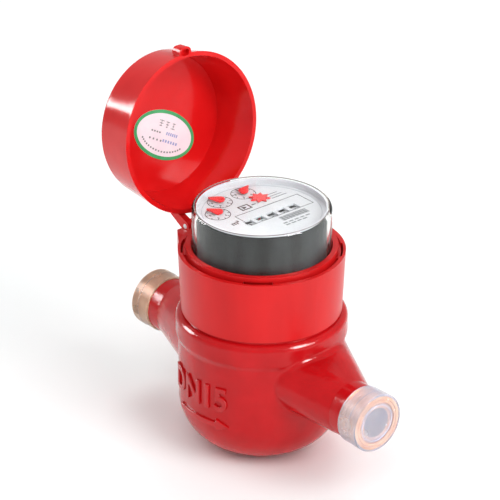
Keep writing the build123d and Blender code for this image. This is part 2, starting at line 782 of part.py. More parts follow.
# Register collar: two walls with a groove on top, four snap pockets and the hinge block
skirt_inner = spigot_radius + moving_clearance
with BuildPart() as register_collar:
    with BuildSketch(Plane.XY.offset(hinge_block_low)):
        with BuildLine():
            flank = degrees(acos(collar_low_radius / hypot(hinge_block_reach, hinge_block_half_width)))
            corner_turn = degrees(atan2(hinge_block_half_width, hinge_block_reach))
            tangent_turn = radians(180 - corner_turn - flank)
            tangent_x = collar_low_radius * cos(tangent_turn)
            tangent_y = collar_low_radius * sin(tangent_turn)
            Polyline(
                (tangent_x, tangent_y),
                (-hinge_block_reach, hinge_block_half_width),
                (-hinge_block_reach, -hinge_block_half_width),
                (tangent_x, -tangent_y),
                close=True,
            )
        make_face()
    extrude(amount=hinge_block_top - hinge_block_low)
    chamfer(
        register_collar.edges().group_by(Axis.Z)[0].sort_by(Axis.X)[0],
        hinge_block_chamfer,
    )
    ear_slot_half = knuckle_half_width + ear_thickness + 2 * moving_clearance
    with BuildSketch(Plane.XY.offset(hinge_height - hinge_eye_radius - moving_clearance)):
        with Locations((-hinge_block_reach, 0)):
            Rectangle(hinge_block_reach, 2 * ear_slot_half)
    extrude(amount=hinge_block_top, mode=Mode.SUBTRACT)
    with BuildSketch(Plane((0, -knuckle_half_width, 0), x_dir=(1, 0, 0), z_dir=(0, -1, 0))):
        with BuildLine():
            CenterArc((hinge_x, hinge_height), hinge_eye_radius, 0, 180)
            Polyline(
                (hinge_x - hinge_eye_radius, hinge_height),
                (-hinge_block_reach, hinge_block_top - hinge_eye_radius),
                (-collar_low_radius, hinge_block_top - hinge_eye_radius),
                (hinge_x + hinge_eye_radius, hinge_height),
            )
        make_face()
        with Locations((hinge_x, hinge_height)):
            Circle(hinge_pin_radius, mode=Mode.SUBTRACT)
    extrude(amount=-2 * knuckle_half_width)
    with BuildSketch(Plane.XZ):
        with BuildLine():
            Polyline(
                (0, collar_low),
                (collar_low_radius, collar_low),
                (collar_radius, collar_rim_height),
                (collar_radius - collar_outer_wall, collar_rim_height),
                (collar_radius - collar_outer_wall, collar_rim_height - collar_groove_depth),
                (collar_ring_radius, collar_rim_height - collar_groove_depth),
                (collar_ring_radius, collar_ring_height),
                (0, collar_ring_height),
                (0, collar_low),
            )
        make_face()
    revolve(axis=Axis.Z)
    with BuildSketch(Plane.XZ):
        with BuildLine():
            Polyline(
                (0, collar_low),
                (skirt_inner, collar_low),
                (skirt_inner, collar_core_height),
                (ring_inner + collar_core_wall, collar_core_height),
                (ring_inner + collar_core_wall, collar_shoulder),
                (ring_inner, collar_shoulder),
                (ring_inner, collar_ring_height),
                (0, collar_ring_height),
                (0, collar_low),
            )
        make_face()
    revolve(axis=Axis.Z, mode=Mode.SUBTRACT)
    for pocket in range(pocket_count):
        middle = pocket_turn + pocket * 360 / pocket_count
        with BuildSketch(Plane.XY.offset(collar_rim_height - pocket_depth)):
            sector(pocket_outer_radius - pocket_breadth, pocket_outer_radius, middle, pocket_length)
        extrude(amount=pocket_depth, mode=Mode.SUBTRACT)
        with BuildSketch(Plane.XY.offset(collar_rim_height - pocket_depth)):
            sector(tongue_outer_radius - tongue_breadth, tongue_outer_radius, middle, pocket_length)
        extrude(amount=pocket_depth - tongue_drop)
save(register_collar.part, "register_collar")

# Hinge pin through the collar's knuckle and the lid's ears
pin_half = knuckle_half_width + moving_clearance + ear_thickness
with BuildPart() as hinge_pin:
    with BuildSketch(Plane((hinge_x, pin_half, hinge_height), x_dir=(1, 0, 0), z_dir=(0, -1, 0))):
        Circle(hinge_pin_radius)
    extrude(amount=2 * pin_half)
save(hinge_pin.part, "hinge_pin")

# Lid: a drafted cap with two hinge ears and a thumb tab, swung open about the hinge
hinge_place = Location((hinge_x, 0, hinge_height))
lid_turn = hinge_place * Location((0, 0, 0), (0, -lid_opening_angle, 0)) * hinge_place.inverse()


def lid_plane(plane):
    """A plane of the shut lid, carried to where the open lid holds it."""
    return Plane(lid_turn * plane.location)


with BuildPart() as lid:
    with BuildSketch(lid_plane(Plane.XZ)):
        with BuildLine():
            Polyline(
                (0, lid_low),
                (lid_rim_radius, lid_low),
                (lid_top_radius, lid_top),
                (0, lid_top),
                (0, lid_low),
            )
        make_face()
    revolve(axis=Axis(lid_plane(Plane.XY).origin, lid_plane(Plane.XY).z_dir))
    top_edge = lid.edges().filter_by(GeomType.CIRCLE).sort_by(SortBy.RADIUS)[0]
    fillet(top_edge, lid_rounding)
    for cheek in (-pin_half, knuckle_half_width + moving_clearance):
        ear_plane = Plane((0, cheek, 0), x_dir=(1, 0, 0), z_dir=(0, -1, 0))
        with BuildSketch(lid_plane(ear_plane)):
            with Locations((hinge_x, hinge_height)):
                Circle(hinge_eye_radius)
            with Locations((-lid_rim_radius - ear_top_proud, ear_top_height)):
                Circle(running_clearance)
            with Locations((-lid_rim_radius - ear_low_proud, lid_low)):
                Circle(running_clearance)
            with Locations((-lid_top_radius, ear_top_height)):
                Circle(running_clearance)
            make_hull()
        extrude(amount=-ear_thickness)
    tab_breadth = lid_wall + tab_proud
    with BuildSketch(lid_plane(Plane.XY.offset(lid_low))):
        with Locations((lid_rim_radius + tab_proud - tab_breadth / 2, 0)):
            RectangleRounded(tab_breadth, 2 * tab_half_width, tab_breadth / 2 - running_clearance)
    extrude(amount=tab_height)
    with BuildSketch(lid_plane(Plane.XY.offset(lid_low))):
        with Locations((lid_rim_radius + tab_proud - tab_breadth / 2, 0)):
            RectangleRounded(
                tab_breadth - 2 * tab_wall,
                2 * (tab_half_width - tab_wall),
                tab_breadth / 2 - tab_wall - running_clearance,
            )
    extrude(amount=tab_hollow, mode=Mode.SUBTRACT)
    with BuildSketch(lid_plane(Plane.XZ)):
        with BuildLine():
            Polyline(
                (0, lid_low),
                (lid_rim_radius - lid_wall, lid_low),
                (lid_rim_radius - lid_wall - lid_draft * (lid_inner_top - lid_low), lid_inner_top),
                (0, lid_inner_top),
                (0, lid_low),
            )
        make_face()
    revolve(
        axis=Axis(lid_plane(Plane.XY).origin, lid_plane(Plane.XY).z_dir), mode=Mode.SUBTRACT
    )
    with BuildSketch(lid_plane(Plane((0, pin_half, 0), x_dir=(1, 0, 0), z_dir=(0, -1, 0)))):
        with Locations((hinge_x, hinge_height)):
            Circle(hinge_pin_radius + running_clearance)
    extrude(amount=2 * pin_half, mode=Mode.SUBTRACT)
save(lid.part, "lid")

# Oval inspection sticker on the inner side of the lid
with BuildPart() as lid_sticker:
    with BuildSketch(lid_plane(Plane.XY.offset(lid_inner_top - sticker_thickness))):
        with Locations(Location((-sticker_back_shift, sticker_side_shift, 0), (0, 0, sticker_turn))):
            Ellipse(sticker_length / 2, sticker_width / 2)
    extrude(amount=sticker_thickness)
save(lid_sticker.part, "lid_sticker")
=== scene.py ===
import json
import math

import bmesh
import bpy
from mathutils import Matrix, Vector


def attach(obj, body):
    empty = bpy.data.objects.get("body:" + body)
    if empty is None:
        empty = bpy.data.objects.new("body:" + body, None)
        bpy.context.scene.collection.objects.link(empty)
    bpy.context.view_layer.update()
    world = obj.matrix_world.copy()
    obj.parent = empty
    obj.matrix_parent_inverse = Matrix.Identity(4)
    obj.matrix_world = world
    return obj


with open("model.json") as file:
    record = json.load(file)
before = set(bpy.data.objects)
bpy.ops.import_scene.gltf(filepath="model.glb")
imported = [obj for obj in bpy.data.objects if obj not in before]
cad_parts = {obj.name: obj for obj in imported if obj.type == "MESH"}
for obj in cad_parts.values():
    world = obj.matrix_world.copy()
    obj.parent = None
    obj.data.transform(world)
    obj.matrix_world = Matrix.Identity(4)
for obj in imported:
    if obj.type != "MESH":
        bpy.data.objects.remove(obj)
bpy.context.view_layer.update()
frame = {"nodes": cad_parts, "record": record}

nodes = frame["nodes"]
MM = 0.001
QUARTER_TURN = math.pi / 2

# Places and sizes that the dressing shares with the CAD, in millimetres
PIPE_HEIGHT = 43.0
NECK_END = 71.6
THREAD_FACE = 82.5
CAP_FACE = 83.6
CAP_RADIUS = 14.3
WALL_RADIUS = 40.2
COVER_RADIUS, COVER_TOP = 33.2, 125.0
DIAL_TOP = 120.9
POINTER_PLACES = ((-11.0, -17.8), (-20.7, -8.7), (-20.7, 5.8))
ROLLER_X, ROLLER_HEIGHT, ROLLER_RADIUS = 5.4, 114.4, 5.2
ROLLER_COUNT, FIRST_ROLLER, ROLLER_PITCH = 5, -11.8, 6.75
HINGE = Vector((-44.5, 0.0, 100.0))
LID_OPENING = math.radians(96.6)
LID_INNER_TOP = 125.8
STICKER_X, STICKER_Y = -6.5, 0.3
STICKER_LENGTH, STICKER_WIDTH, STICKER_THICKNESS = 38.8, 24.2, 0.2
STICKER_TURN = math.radians(-60.3)

# Camera, fitted to the photograph and placed from the middle of the pipe, in millimetres
CAMERA_BACK = Vector((0.6855, -0.5725, 0.4498))
CAMERA_RIGHT = Vector((0.6410, 0.7675, 0.0)).normalized()
CAMERA_DISTANCE = 1500
CAMERA_ASIDE, CAMERA_RISE = -5.617, 51.770
CAMERA_LENS, CAMERA_SENSOR = 223.4, 36.0
# Nearest and furthest thing that the camera sees, in metres
CAMERA_NEAR, CAMERA_FAR = 0.05, 60.0


def make_camera():
    up = CAMERA_BACK.cross(CAMERA_RIGHT).normalized()
    spot = CAMERA_BACK * CAMERA_DISTANCE + CAMERA_RIGHT * CAMERA_ASIDE + up * CAMERA_RISE
    spot += Vector((0, 0, PIPE_HEIGHT))
    data = bpy.data.cameras.new("camera")
    data.lens, data.sensor_width = CAMERA_LENS, CAMERA_SENSOR
    data.clip_start, data.clip_end = CAMERA_NEAR, CAMERA_FAR
    camera = bpy.data.objects.new("camera", data)
    bpy.context.scene.collection.objects.link(camera)
    turn = Matrix((CAMERA_RIGHT, up, CAMERA_BACK)).transposed().to_4x4()
    camera.matrix_world = Matrix.Translation(spot * MM) @ turn
    bpy.context.scene.camera = camera


# Finishes. Colour and roughness run from the first value to the second in soft patches, grain of them to
# the metre. Relief is in millimetres. A name with capitals is an input of the shader itself.
PAINT = dict(
    dark=(0.43, 0.003, 0.005), light=(0.53, 0.005, 0.008), grain=75, rough=(0.07, 0.20), fine_relief=0.05)
FINISHES = {
    "red_paint_mark": dict(PAINT, relief=0.3, Specular_IOR_Level=0.4),
    # The red plastic's patches are a random tone, and stretched upright they also paint the collar's upright
    # sheen.
    "red_plastic": dict(
        dark=(0.54, 0.006, 0.007), light=(0.65, 0.009, 0.010), grain=60, rough=(0.26, 0.36),
        relief=0.08, drawn=4.0, Specular_IOR_Level=0.24),
    "red_plastic_lid": dict(
        dark=(0.64, 0.007, 0.008), light=(0.72, 0.010, 0.011), grain=60, rough=(0.08, 0.15),
        relief=0.15, Specular_IOR_Level=0.19),
    "cap_plastic": dict(
        dark=(0.76, 0.77, 0.90), light=(0.90, 0.89, 0.97), grain=110, rough=(0.18, 0.32),
        relief=0.12, Transmission_Weight=0.79, IOR=1.32, Coat_Weight=0.3, Coat_Roughness=0.1),
    "cap_yellowed": dict(
        dark=(0.64, 0.47, 0.34), light=(0.88, 0.74, 0.62), grain=110, rough=(0.22, 0.36),
        relief=0.12, Transmission_Weight=0.74, IOR=1.28),
    "cap_amber": dict(
        dark=(0.60, 0.26, 0.10), light=(0.84, 0.56, 0.36), grain=90, rough=(0.3, 0.4), relief=0.03),
    "seal_brown": dict(
        dark=(0.20, 0.07, 0.06), light=(0.28, 0.11, 0.09), grain=300, rough=(0.6, 0.75), relief=0.04),
    "white_plastic": dict(
        dark=(0.78, 0.78, 0.75), light=(0.84, 0.84, 0.81), grain=100, rough=(0.4, 0.5), relief=0.02),
    "grey_plastic": dict(
        dark=(0.09, 0.10, 0.10), light=(0.13, 0.14, 0.14), grain=100, rough=(0.4, 0.5), relief=0.02),
    # The black plastic's upright streaks of lighter grey are painted reflections on the register's side.
    "black_plastic": dict(
        dark=(0.001, 0.001, 0.001), light=(0.030, 0.032, 0.036), grain=130, rough=(0.45, 0.6),
        relief=0.03, drawn=12.0, Specular_IOR_Level=0.15),
    "dial_white": dict(
        dark=(0.61, 0.61, 0.66), light=(0.65, 0.65, 0.70), grain=200, rough=(0.45, 0.55), relief=0.01),
    "pointer_red": dict(
        dark=(0.62, 0.012, 0.016), light=(0.72, 0.02, 0.022), grain=300, rough=(0.25, 0.35), relief=0.01),
    "clear_cover": dict(
        dark=(0.90, 0.92, 0.90), light=(0.93, 0.94, 0.92), grain=60, rough=(0.01, 0.03),
        Transmission_Weight=0.988, IOR=1.04, Coat_Weight=0.28, Coat_Roughness=0.03, Coat_IOR=1.5),
    # The dark ring in the clear cover's wall is painted refraction.
    "cover_edge_refraction": dict(
        dark=(0.10, 0.075, 0.07), light=(0.18, 0.135, 0.13), grain=120, rough=(0.3, 0.4), relief=0.01),
    "brass": dict(
        dark=(0.88, 0.46, 0.20), light=(0.97, 0.56, 0.26), grain=250, rough=(0.25, 0.38), relief=0.02,
        Metallic=1.0),
    "steel": dict(
        dark=(0.50, 0.50, 0.51), light=(0.60, 0.60, 0.61), grain=250, rough=(0.25, 0.38), relief=0.02,
        Metallic=1.0),
    "magnet_iron": dict(
        dark=(0.03, 0.03, 0.032), light=(0.05, 0.05, 0.052), grain=200, rough=(0.5, 0.65), relief=0.03),
    "seal_rubber": dict(
        dark=(0.012, 0.012, 0.012), light=(0.02, 0.02, 0.02), grain=300, rough=(0.6, 0.75), relief=0.04),
    "sticker": dict(
        dark=(0.90, 0.80, 0.87), light=(0.95, 0.87, 0.92), grain=150, rough=(0.35, 0.45), relief=0.01),
    "sticker_green": dict(
        dark=(0.015, 0.34, 0.09), light=(0.03, 0.42, 0.13), grain=150, rough=(0.35, 0.45), relief=0.01),
    "print_grey": dict(
        dark=(0.16, 0.17, 0.19), light=(0.22, 0.23, 0.25), grain=500, rough=(0.45, 0.55), relief=0.01),
    "print_faint": dict(
        dark=(0.36, 0.38, 0.44), light=(0.42, 0.44, 0.50), grain=500, rough=(0.45, 0.55), relief=0.01),
    "print_black": dict(
        dark=(0.012, 0.012, 0.015), light=(0.03, 0.03, 0.034), grain=500, rough=(0.45, 0.55), relief=0.01),
    "print_blue": dict(
        dark=(0.28, 0.34, 0.62), light=(0.36, 0.42, 0.70), grain=500, rough=(0.45, 0.55), relief=0.01),
    "floor": dict(
        dark=(0.93, 0.965, 0.965), light=(0.95, 0.98, 0.98), grain=2, rough=(0.7, 0.8)),
}
# Nodes whose finish isn't the one that their slot names
OWN_FINISH = {"lid": "red_plastic_lid", "glass_gasket": "seal_brown", "inlet_thread_cap": "cap_yellowed"}
PATCH_EDGES = (0.3, 0.7)
PATCH_DETAIL = 4.0
GRIT_PER_PATCH = 12
GRIT_DETAIL = 3.0


def add_noise(tree, scale, detail, place):
    noise = tree.nodes.new("ShaderNodeTexNoise")
    noise.inputs["Scale"].default_value = scale
    noise.inputs["Detail"].default_value = detail
    tree.links.new(place, noise.inputs["Vector"])
    return noise.outputs["Fac"]


def add_relief(tree, height, depth):
    """A bump of so many millimetres, on top of the relief that the shader already has."""
    normal = tree.nodes["Principled BSDF"].inputs["Normal"]
    bump = tree.nodes.new("ShaderNodeBump")
    bump.inputs["Distance"].default_value = depth * MM
    tree.links.new(height, bump.inputs["Height"])
    if normal.is_linked:
        tree.links.new(normal.links[0].from_socket, bump.inputs["Normal"])
    tree.links.new(bump.outputs["Normal"], normal)


def surface(name, dark, light, grain, rough, relief=0.0, fine_relief=0.0, drawn=1.0, **fixed):
    """A material of soft patches, which its stretch factor makes that many times taller. Stretched upright
    so, the patches are streaks of painted sheen and reflection.
    """
    mat = bpy.data.materials.new(name)
    mat.use_nodes = True
    tree = mat.node_tree
    shader = tree.nodes["Principled BSDF"]
    place = tree.nodes.new("ShaderNodeTexCoord").outputs["Object"]
    stretch = tree.nodes.new("ShaderNodeMapping")
    stretch.inputs["Scale"].default_value = (1.0, 1.0, 1.0 / drawn)
    tree.links.new(place, stretch.inputs["Vector"])
    patches = add_noise(tree, grain, PATCH_DETAIL, stretch.outputs["Vector"])
    tone = tree.nodes.new("ShaderNodeValToRGB")
    for element, edge, colour in zip(tone.color_ramp.elements, PATCH_EDGES, (dark, light)):
        element.position = edge
        element.color = (*colour, 1)
    tree.links.new(patches, tone.inputs["Fac"])
    tree.links.new(tone.outputs["Color"], shader.inputs["Base Color"])
    spread = tree.nodes.new("ShaderNodeMapRange")
    spread.inputs["To Min"].default_value, spread.inputs["To Max"].default_value = rough
    tree.links.new(patches, spread.inputs["Value"])
    tree.links.new(spread.outputs["Result"], shader.inputs["Roughness"])
    if relief:
        add_relief(tree, patches, relief)
    if fine_relief:
        add_relief(tree, add_noise(tree, grain * GRIT_PER_PATCH, GRIT_DETAIL, place), fine_relief)
    for key, value in fixed.items():
        shader.inputs[key.replace("_", " ")].default_value = value
    return mat


# Bare brass of the cast body. It shows past the end of the paint, which is just short of the neck's end,
# and in the bores, which lie within a radius of the pipe's axis and beyond a length from its middle.
BARE_BRASS = {"Base Color": (0.95, 0.50, 0.22, 1), "Roughness": 0.32, "Metallic": 1.0}
PAINT_GAP = 0.05
BARE_RADIUS = 9.6
BARE_START = 45.0
# A mix node's sockets by what it mixes: its two inputs and its output
MIX_SOCKETS = {"RGBA": (6, 7, 2), "FLOAT": (2, 3, 0)}


def cast_body():
    """Red paint over a cast body, with bare brass in the bores and on the thread ends."""
    mat = surface("red_paint", relief=0.5, Specular_IOR_Level=0.26, **PAINT)
    tree = mat.node_tree
    shader = tree.nodes["Principled BSDF"]
    parts = tree.nodes.new("ShaderNodeSeparateXYZ")
    tree.links.new(tree.nodes["Texture Coordinate"].outputs["Object"], parts.inputs["Vector"])

    def maths(kind, *values):
        node = tree.nodes.new("ShaderNodeMath")
        node.operation = kind
        for socket, value in zip(node.inputs, values):
            if isinstance(value, float):
                socket.default_value = value
            else:
                tree.links.new(value, socket)
        return node.outputs[0]

    along = maths("ABSOLUTE", parts.outputs["X"])
    up = maths("SUBTRACT", parts.outputs["Z"], PIPE_HEIGHT * MM)
    aside = parts.outputs["Y"]
    from_axis = maths("SQRT", maths("ADD", maths("MULTIPLY", up, up), maths("MULTIPLY", aside, aside)))
    thread = maths("GREATER_THAN", along, (NECK_END - PAINT_GAP) * MM)
    near_axis = maths("LESS_THAN", from_axis, BARE_RADIUS * MM)
    bore = maths("MULTIPLY", near_axis, maths("GREATER_THAN", along, BARE_START * MM))
    bare = maths("MAXIMUM", thread, bore)
    for name, brass in BARE_BRASS.items():
        socket = shader.inputs[name]
        mix = tree.nodes.new("ShaderNodeMix")
        mix.data_type = "RGBA" if name == "Base Color" else "FLOAT"
        first, second, mixed = MIX_SOCKETS[mix.data_type]
        if socket.is_linked:
            tree.links.new(socket.links[0].from_socket, mix.inputs[first])
        else:
            mix.inputs[first].default_value = 0.0
        mix.inputs[second].default_value = brass
        tree.links.new(bare, mix.inputs["Factor"])
        tree.links.new(mix.outputs[mixed], socket)
    return mat


def make_materials():
    made = {"red_paint": cast_body()}
    for name, finish in FINISHES.items():
        made[name] = surface(name, **finish)
    return made


def dress_nodes(materials):
    slots = {part["node"]: part["material_slot"] for part in frame["record"]["subparts"]}
    for name, obj in nodes.items():
        obj.data.materials.clear()
        obj.data.materials.append(materials[OWN_FINISH.get(name, slots[name])])


# Helpers for meshes, which are drawn in millimetres
def piece(name, mesh, material, body, smooth=False):
    """A mesh in metres as a piece of the scene that rides on a body."""
    obj = bpy.data.objects.new(name, mesh)
    bpy.context.scene.collection.objects.link(obj)
    mesh.materials.clear()
    mesh.materials.append(material)
    if smooth:
        mesh.shade_smooth()
    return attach(obj, body)


TEXT_CURVE_STEPS = 4


def text_mesh(words, size, thick, bold=0.0):
    """Flat words in the XY plane, centred on the origin, with their thickness up from z 0."""
    curve = bpy.data.curves.new("words", "FONT")
    curve.body, curve.size, curve.extrude, curve.offset = words, size, thick / 2, bold
    curve.align_x, curve.align_y = "CENTER", "CENTER"
    curve.resolution_u = TEXT_CURVE_STEPS
    obj = bpy.data.objects.new("words", curve)
    mesh = bpy.data.meshes.new_from_object(obj)
    bpy.data.objects.remove(obj)
    mesh.transform(Matrix.Translation((0, 0, thick / 2)))
    return mesh


def take_mesh(bm, mesh):
    """Adds a mesh to bm and removes it."""
    bm.from_mesh(mesh)
    bpy.data.meshes.remove(mesh)


def slab(bm, outline, low, high):
    """A closed prism over an outline of (x, y) points."""
    foot = [bm.verts.new((x, y, low)) for x, y in outline]
    head = [bm.verts.new((x, y, high)) for x, y in outline]
    bm.faces.new(list(reversed(foot)))
    bm.faces.new(head)
    for i in range(len(outline)):
        j = (i + 1) % len(outline)
        bm.faces.new((foot[i], foot[j], head[j], head[i]))


def bar(bm, x, y, length, width, turn, low, high):
    """A closed bar round (x, y), its length turned from the X axis."""
    c, s = math.cos(turn), math.sin(turn)
    a, b = length / 2, width / 2
    corners = ((-a, -b), (a, -b), (a, b), (-a, b))
    slab(bm, [(x + a * c - b * s, y + a * s + b * c) for a, b in corners], low, high)


def join_rows(bm, one, two):
    """Faces between two closed rows of as many points."""
    for i in range(len(one)):
        j = (i + 1) % len(one)
        bm.faces.new((one[i], one[j], two[j], two[i]))


def loop(bm, x, y, outer, inner, low, high, steps=64, squash=1.0, turn=0.0):
    """A closed band round (x, y). An oval one is squash times as wide as it is long."""
    c, s = math.cos(turn), math.sin(turn)
    rows = []
    for radius, level in ((outer, low), (outer, high), (inner, high), (inner, low)):
        row = []
        for i in range(steps):
            t = 2 * math.pi * i / steps
            a, b = radius * math.cos(t), (radius - (1 - squash) * outer) * math.sin(t)
            row.append(bm.verts.new((x + a * c - b * s, y + a * s + b * c, level)))
        rows.append(row)
    for one, two in zip(rows, rows[1:] + rows[:1]):
        join_rows(bm, one, two)


def to_mesh(bm, name, place=Matrix.Identity(4)):
    """What bm holds, put at place, as a mesh in metres."""
    bmesh.ops.recalc_face_normals(bm, faces=bm.faces)
    mesh = bpy.data.meshes.new(name)
    bm.to_mesh(mesh)
    bm.free()
    mesh.transform(Matrix.Scale(MM, 4) @ place)
    return mesh


# Thread turns on both ends of the body. They rise and sink within a share of the thread at its two ends.
THREAD_ROOT, THREAD_CREST, THREAD_PITCH = 12.68, 13.22, 1.814
THREAD_ROWS, THREAD_COLUMNS = 56, 72
NECK_GAP, FACE_GAP = 0.1, 0.05
RISE_SHARE, SINK_SHARE = 1 / 6.4, 1 / 8
FLANK_SLOPE, ROOT_FLAT = 1.3, 0.15
INSIDE_SHARE = 0.985


def thread_radius(x, angle, share):
    """The thread's radius at x along the pipe, a share of the way along the thread."""
    phase = (x / THREAD_PITCH + angle / (2 * math.pi)) % 1.0
    wave = 1 - abs(2 * phase - 1)
    fade = min(1.0, share / RISE_SHARE, (1 - share) / SINK_SHARE)
    height = min(1.0, max(0.0, FLANK_SLOPE * wave - ROOT_FLAT))
    return THREAD_ROOT + (THREAD_CREST - THREAD_ROOT) * fade * height


def thread_row(bm, side, x, share):
    row = []
    for j in range(THREAD_COLUMNS):
        angle = 2 * math.pi * j / THREAD_COLUMNS
        radius = thread_radius(x, angle, share)
        row.append(bm.verts.new((side * x, radius * math.cos(angle) * side, radius * math.sin(angle))))
    return row


def make_threads(materials):
    """The turns, as a thin closed sleeve over each thread."""
    start, length = NECK_END + NECK_GAP, THREAD_FACE - NECK_END - NECK_GAP - FACE_GAP
    for name, side in (("outlet_thread", 1), ("inlet_thread", -1)):
        bm = bmesh.new()
        shares = [i / THREAD_ROWS for i in range(THREAD_ROWS + 1)]
        outside = [thread_row(bm, side, start + length * share, share) for share in shares]
        inside = []
        for row in (outside[0], outside[-1]):
            inside.append([bm.verts.new((v.co.x, INSIDE_SHARE * v.co.y, INSIDE_SHARE * v.co.z)) for v in row])
        rows = [inside[0], *outside, inside[1]]
        for one, two in zip(rows, rows[1:] + rows[:1]):
            join_rows(bm, one, two)
        mesh = to_mesh(bm, name, Matrix.Translation((0, 0, PIPE_HEIGHT)))
        piece(name, mesh, materials["brass"], "meter", smooth=True)


# Rings of the caps: outer radius, inner radius, and the two depths under the cap's face
CAP_RING_STEPS = 72
CAP_RECESS_RING = (9.5, 8.9, 0.45, 0.12)
CAP_SIDE_LINE = (CAP_RADIUS + 0.14, CAP_RADIUS - 0.1, 5.0, 4.7)
CAP_GLOWS = ((13.4, 12.1, 0.6, 0.25), (11.7, 10.5, 0.6, 0.25))


def cap_mesh(name, side, rings):
    bm = bmesh.new()
    for outer, inner, deep, shallow in rings:
        loop(bm, 0, 0, outer, inner, CAP_FACE - deep, CAP_FACE - shallow, CAP_RING_STEPS)
    turned = Matrix.Rotation(QUARTER_TURN * side, 4, "Y")
    return to_mesh(bm, name, Matrix.Translation((0, 0, PIPE_HEIGHT)) @ turned)


def make_cap_rings(materials):
    """A raised ring in the recess of each cap, a line round its side, and amber rings inside its end wall."""
    for body, side in (("outlet_cap", 1), ("inlet_cap", -1)):
        for name, rings, finish in (
            (f"{body}_ring", (CAP_RECESS_RING, CAP_SIDE_LINE), "cap_plastic"),
            (f"{body}_glow", CAP_GLOWS, "cap_amber"),
        ):
            piece(name, cap_mesh(name, side, rings), materials[finish], body)


# Casting mark, a nominal bore over a flow arrow. It is drawn flat, cut across at every millimetre, bent
# round the bowl's wall and fused with soft edges.
MARK_WORDS = "DN15"
MARK_TEXT_SIZE, MARK_BOLD = 17.5, 0.55
MARK_WIDTH, MARK_HEIGHT, MARK_DROP = 38.0, 12.8, 4.0
MARK_ARROW = ((-13, -19.2), (13, -19.2), (13, -21.0), (20, -17.8), (13, -14.6), (13, -16.4), (-13, -16.4))
MARK_THICKNESS, MARK_SUNK = 1.72, 0.6
MARK_HEADING = math.radians(-91)
MARK_REACH = 22
MARK_VOXEL = 0.28
SOFTEN_FACTOR, SOFTEN_TIMES = 0.5, 6


def make_mark(materials):
    bm = bmesh.new()
    take_mesh(bm, text_mesh(MARK_WORDS, MARK_TEXT_SIZE, MARK_THICKNESS, MARK_BOLD))
    left, right = min(v.co.x for v in bm.verts), max(v.co.x for v in bm.verts)
    foot, head = min(v.co.y for v in bm.verts), max(v.co.y for v in bm.verts)
    for v in bm.verts:
        v.co.x = (v.co.x - (right + left) / 2) * MARK_WIDTH / (right - left)
        v.co.y = (v.co.y - (head + foot) / 2) * MARK_HEIGHT / (head - foot) - MARK_DROP
    slab(bm, MARK_ARROW, 0.0, MARK_THICKNESS)
    for cut in range(-MARK_REACH, MARK_REACH + 1):
        everything = [*bm.verts, *bm.edges, *bm.faces]
        bmesh.ops.bisect_plane(bm, geom=everything, plane_co=(cut, 0, 0), plane_no=(1, 0, 0))
    for v in bm.verts:
        x, y, z = v.co
        radius = WALL_RADIUS - MARK_SUNK + z
        angle = MARK_HEADING + x / WALL_RADIUS
        v.co = (radius * math.cos(angle), radius * math.sin(angle), PIPE_HEIGHT + y)
    mesh = to_mesh(bm, "casting_mark")
    obj = piece("casting_mark", mesh, materials["red_paint_mark"], "meter")
    fuse = obj.modifiers.new("fuse", "REMESH")
    fuse.mode, fuse.voxel_size, fuse.use_smooth_shade = "VOXEL", MARK_VOXEL * MM, True
    soften = obj.modifiers.new("soften", "SMOOTH")
    soften.factor, soften.iterations = SOFTEN_FACTOR, SOFTEN_TIMES


# Print on the dial, whose reader has +Y at the right and -X at the top
READER = Matrix(((0, -1, 0, 0), (1, 0, 0, 0), (0, 0, 1, 0), (0, 0, 0, 1)))
PRINT_THICKNESS = 0.07
PRINT_TOP = DIAL_TOP + PRINT_THICKNESS
SCALE_OUTER, SCALE_INNER, SCALE_TICKS = 6.2, 5.85, 10
TICK_RADIUS, TICK_LENGTH, TICK_WIDTH = 5.3, 1.0, 0.36
NUMBER_RADIUS, NUMBER_SIZE, NUMBER_BOLD = 3.9, 2.0, 0.04
UNIT_X, UNIT_Y, UNIT_SIZE, UNIT_BOLD = 1.7, -17.4, 4.6, 0.10
# Bars by their X, Y, length and width, with a turn where they run across the others
COUNTER_FRAME = (
    (2.0, -13.2, 12.2, 0.3), (2.0, 25.2, 12.2, 0.3),
    (-3.9, 6.0, 38.6, 0.3, QUARTER_TURN), (8.0, 6.0, 38.6, 0.3, QUARTER_TURN))
SIGN_FRAME = ((-10.6, -3.3, 0.7, 6.0), (-6.6, -3.3, 0.7, 6.0), (-8.6, -6.0, 4.4, 0.7), (-8.6, -0.6, 4.4, 0.7))
SIGN_TRIANGLE = ((-9.9, -4.6), (-7.3, -4.6), (-8.6, -2.2))
SIGN_DASH = (-8.6, 2.0, 0.7, 2.6)
PLAIN_LINES = ((-8.0, 17.5, 0.5, 9.0), (-10.1, 17.0, 0.5, 7.5), (-12.2, 16.5, 0.5, 6.0))
STRIPE_COUNT, STRIPE_X, STRIPE_START, STRIPE_STEP = 26, 12.0, 2.0, 0.62
STRIPE_LENGTH, STRIPE_WIDTHS = 4.2, (0.22, 0.38, 0.54)
WORDS_X, WORDS_Y, LINE_STEP, WORD_STEP = 16.2, 1.0, 2.0, 3.4
WORDS_IN_LINE, WORD_SIZE = (5, 4), (0.9, 2.5)
MARGIN_OUTER, MARGIN_INNER = 28.6, 28.3
ROUND_STEPS = 128


def stamp(bm, x, y, length, width, turn=0.0):
    """A printed bar on the dial."""
    bar(bm, x, y, length, width, turn, DIAL_TOP, PRINT_TOP)


def add_words(bm, words, size, x, y, bold):
    mesh = text_mesh(words, size, PRINT_THICKNESS, bold)
    mesh.transform(Matrix.Translation((x, y, DIAL_TOP)) @ READER)
    take_mesh(bm, mesh)


